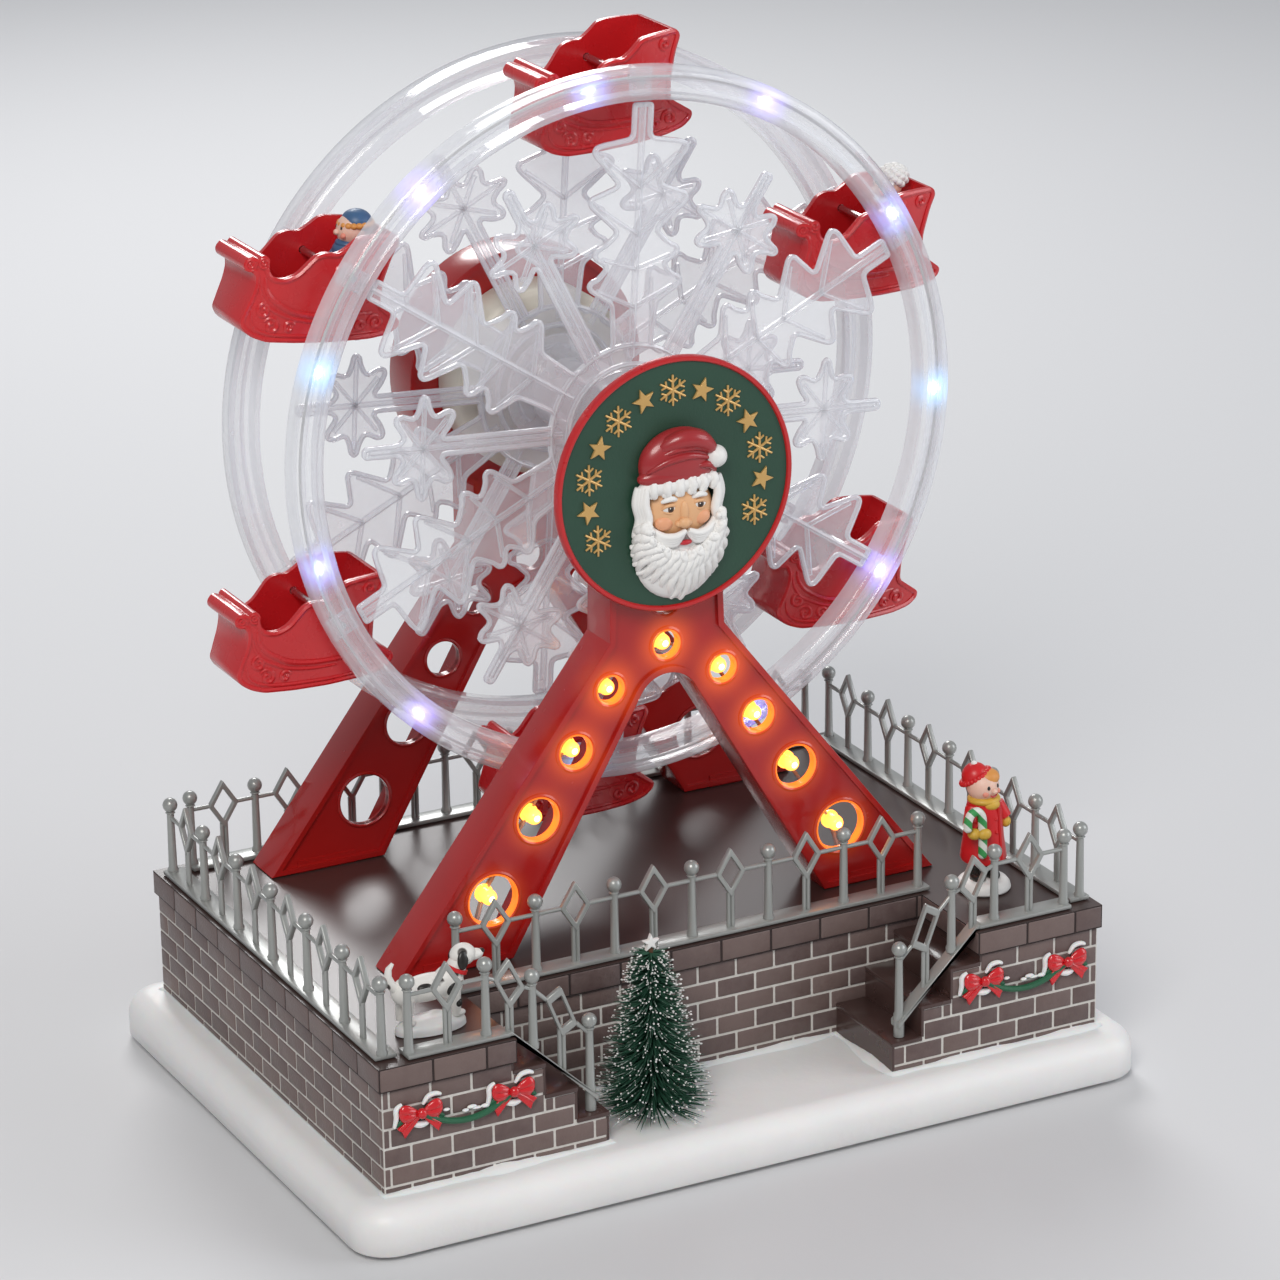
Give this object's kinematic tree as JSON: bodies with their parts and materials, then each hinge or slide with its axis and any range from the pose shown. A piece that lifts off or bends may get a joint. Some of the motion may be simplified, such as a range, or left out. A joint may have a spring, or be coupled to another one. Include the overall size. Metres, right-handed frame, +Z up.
{
  "type": "musical ferris wheel ornament",
  "caption": "Battery-powered winter village ferris wheel: a lit clear wheel with hanging sleighs turns between red A-frames on a fenced brick platform.",
  "frame": {"origin": "centre of the base at the level its feet stand on", "axes": "+Z up, -Y the front with the sign and the stairs, +X to the viewer's right from the front"},
  "size_m": [0.241, 0.173, 0.2963],
  "materials": {
    "snow": "satin white paint over moulded plastic",
    "black_plastic": "textured",
    "cell_wrap": "printed wrap over steel",
    "foot_rubber": "matt",
    "brick": "dark glazed brick with pale mortar",
    "fence_grey": "silver-grey paint",
    "frame_red": "gloss",
    "sign_paint": "dark green field with a red rim",
    "relief_paint": "painted",
    "amber_lamp": "lit amber lamps",
    "cool_lamp": "lit white lamps",
    "bronze": "sintered bronze",
    "white_nylon": "natural nylon",
    "steel": "bright",
    "speaker_black": "paper cone in a plastic frame",
    "switch_black": "matt",
    "board": "solder mask",
    "child_paint": "painted resin",
    "dog_paint": "painted resin",
    "needles": "dyed bristle with frosted tips",
    "ribbon": "painted",
    "clear_acrylic": "clear, polished",
    "sleigh_red": "gloss",
    "coat_blue": "painted resin",
    "coat_red": "painted resin"
  },
  "bodies": {
    "base": {"snow_base": "snow", "bottom_plate": "black_plastic", "battery_door": "black_plastic", "battery_cell_1": "cell_wrap", "battery_cell_2": "cell_wrap", "battery_cell_3": "cell_wrap", "rubber_foot_1": "foot_rubber", "rubber_foot_2": "foot_rubber", "rubber_foot_3": "foot_rubber", "rubber_foot_4": "foot_rubber", "brick_platform": "brick", "fence_left": "fence_grey", "fence_right": "fence_grey", "fence_back": "fence_grey", "fence_front": "fence_grey", "fence_stair_left": "fence_grey", "fence_stair_right": "fence_grey", "front_frame": "frame_red", "rear_frame": "frame_red", "amber_light_string": "amber_lamp", "sign_dish": "sign_paint", "sign_relief": "relief_paint", "front_bearing": "bronze", "rear_bearing": "bronze", "gear_case": "white_nylon", "gear_motor": "steel", "rear_cover": "frame_red", "speaker": "speaker_black", "music_board": "board", "switch_housing": "steel", "child_figure": "child_paint", "dog_on_mound": "dog_paint", "bottle_brush_tree": "needles", "left_garland": "ribbon", "right_garland": "ribbon"},
    "wheel": {"front_ring": "clear_acrylic", "rear_ring": "clear_acrylic", "front_snowflake": "clear_acrylic", "rear_snowflake": "clear_acrylic", "hub_drum": "clear_acrylic", "wheel_axle": "steel", "slip_ring": "bronze", "axle_gear": "white_nylon", "ring_light_string": "cool_lamp", "sleigh_pin_1": "steel", "sleigh_pin_2": "steel", "sleigh_pin_3": "steel", "sleigh_pin_4": "steel", "sleigh_pin_5": "steel", "sleigh_pin_6": "steel"},
    "sleigh_1_body": {"sleigh_1": "sleigh_red"},
    "sleigh_2_body": {"sleigh_2": "sleigh_red", "passenger_blue": "coat_blue"},
    "sleigh_3_body": {"sleigh_3": "sleigh_red"},
    "sleigh_4_body": {"sleigh_4": "sleigh_red"},
    "sleigh_5_body": {"sleigh_5": "sleigh_red"},
    "sleigh_6_body": {"sleigh_6": "sleigh_red", "passenger_white_hat": "coat_red"},
    "pinion": {"motor_pinion": "bronze"},
    "switch": {"switch_slider": "switch_black"}
  },
  "joints": [
    {"name": "wheel_spin", "type": "hinge", "parent": "base", "child": "wheel", "pos_m": [0, 0.01375, 0.1897], "axis": [0, -1, 0], "continuous": true},
    {"name": "sleigh_1_swing", "type": "hinge", "parent": "wheel", "child": "sleigh_1_body", "pos_m": [0.00666, 0.01375, 0.28497], "axis": [0, -1, 0], "continuous": true},
    {"name": "sleigh_2_swing", "type": "hinge", "parent": "wheel", "child": "sleigh_2_body", "pos_m": [-0.07917, 0.01375, 0.2431], "axis": [0, -1, 0], "continuous": true},
    {"name": "sleigh_3_swing", "type": "hinge", "parent": "wheel", "child": "sleigh_3_body", "pos_m": [-0.08583, 0.01375, 0.14784], "axis": [0, -1, 0], "continuous": true},
    {"name": "sleigh_4_swing", "type": "hinge", "parent": "wheel", "child": "sleigh_4_body", "pos_m": [-0.00666, 0.01375, 0.09443], "axis": [0, -1, 0], "continuous": true},
    {"name": "sleigh_5_swing", "type": "hinge", "parent": "wheel", "child": "sleigh_5_body", "pos_m": [0.07917, 0.01375, 0.1363], "axis": [0, -1, 0], "continuous": true},
    {"name": "sleigh_6_swing", "type": "hinge", "parent": "wheel", "child": "sleigh_6_body", "pos_m": [0.08583, 0.01375, 0.23156], "axis": [0, -1, 0], "continuous": true},
    {"name": "pinion_spin", "type": "hinge", "parent": "base", "child": "pinion", "pos_m": [0, 0.0458, 0.1705], "axis": [0, -1, 0], "continuous": true},
    {"name": "switch_slide", "type": "slide", "parent": "base", "child": "switch", "axis": [-1, 0, 0], "range_m": [0, 0.004]}
  ],
  "couplings": [
    {"joint": "sleigh_1_swing", "follows": "wheel_spin", "ratio": -1},
    {"joint": "sleigh_2_swing", "follows": "wheel_spin", "ratio": -1},
    {"joint": "sleigh_3_swing", "follows": "wheel_spin", "ratio": -1},
    {"joint": "sleigh_4_swing", "follows": "wheel_spin", "ratio": -1},
    {"joint": "sleigh_5_swing", "follows": "wheel_spin", "ratio": -1},
    {"joint": "sleigh_6_swing", "follows": "wheel_spin", "ratio": -1},
    {"joint": "pinion_spin", "follows": "wheel_spin", "ratio": -3}
  ]
}
